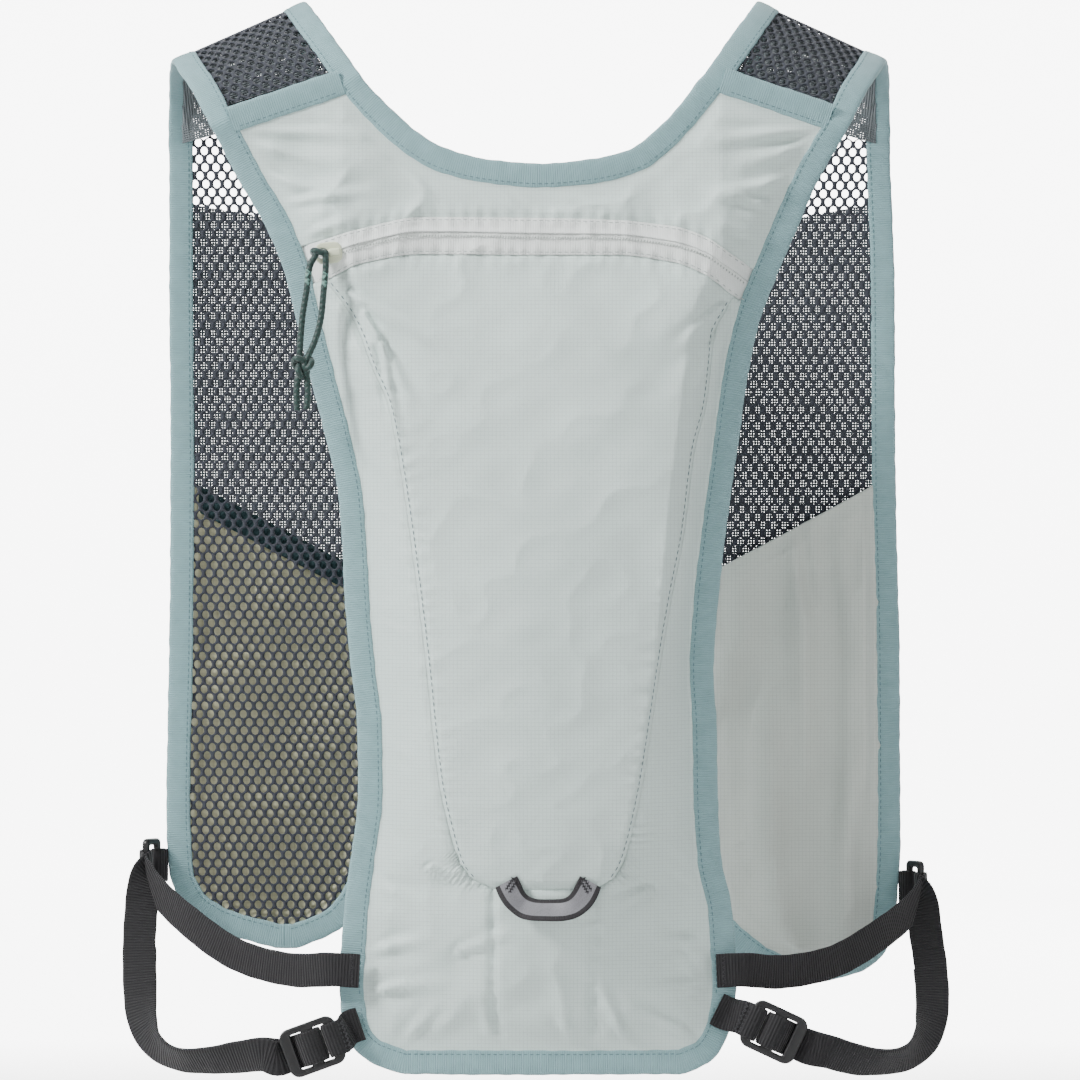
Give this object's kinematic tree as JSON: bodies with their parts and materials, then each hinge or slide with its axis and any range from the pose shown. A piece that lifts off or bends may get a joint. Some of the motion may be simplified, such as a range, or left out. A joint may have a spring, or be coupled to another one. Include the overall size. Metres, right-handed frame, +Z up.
{
  "type": "running hydration vest",
  "caption": "Sleeveless running vest with a flat zipped back pouch, mesh shoulders, long front panels, webbing side straps and a chest strap.",
  "frame": {"origin": "midway between the wearer's shoulders, level with the base of the neck, where the shoulders hold the vest up", "axes": "+Z up along the wearer's back, +Y forwards through the wearer's chest, +X to the wearer's right hand"},
  "size_m": [0.3708, 0.1241, 0.4827],
  "materials": {
    "ripstop": "satin",
    "back_mesh": "matte",
    "zip_tape": "matte",
    "binding": "matte",
    "hole_mesh": "matte",
    "net": "matte",
    "webbing": "matte",
    "plastic_black": "satin",
    "plastic_pale": "gloss",
    "cord": "satin",
    "reflective": "satin"
  },
  "bodies": {
    "root": {"back_panel": "back_mesh", "upper_back": "ripstop", "zip_tape_upper": "zip_tape", "zip_tape_lower": "zip_tape", "centre_panel": "ripstop", "lower_back": "ripstop", "hem_binding": "binding", "left_armhole_binding": "binding", "right_armhole_binding": "binding", "neck_binding": "binding", "left_cross_strip": "binding", "right_cross_strip": "binding", "left_yoke": "hole_mesh", "right_yoke": "hole_mesh", "left_front_panel": "hole_mesh", "right_front_panel": "hole_mesh", "left_net_layer": "net", "right_net_layer": "net", "left_front_pocket": "ripstop", "right_front_pocket": "ripstop", "left_ring": "plastic_black", "right_ring": "plastic_black", "left_strap": "webbing", "right_strap": "webbing", "left_strap_tail": "webbing", "right_strap_tail": "webbing", "left_ring_tab": "webbing", "right_ring_tab": "webbing", "left_ladder_lock": "plastic_black", "right_ladder_lock": "plastic_black", "left_lock_tab": "webbing", "right_lock_tab": "webbing", "chest_strap": "webbing", "zip_slider": "plastic_pale", "left_cord": "cord", "right_cord": "cord", "cord_knot": "cord", "left_cord_tail": "cord", "right_cord_tail": "cord", "reflective_loop": "reflective"}
  },
  "joints": []
}
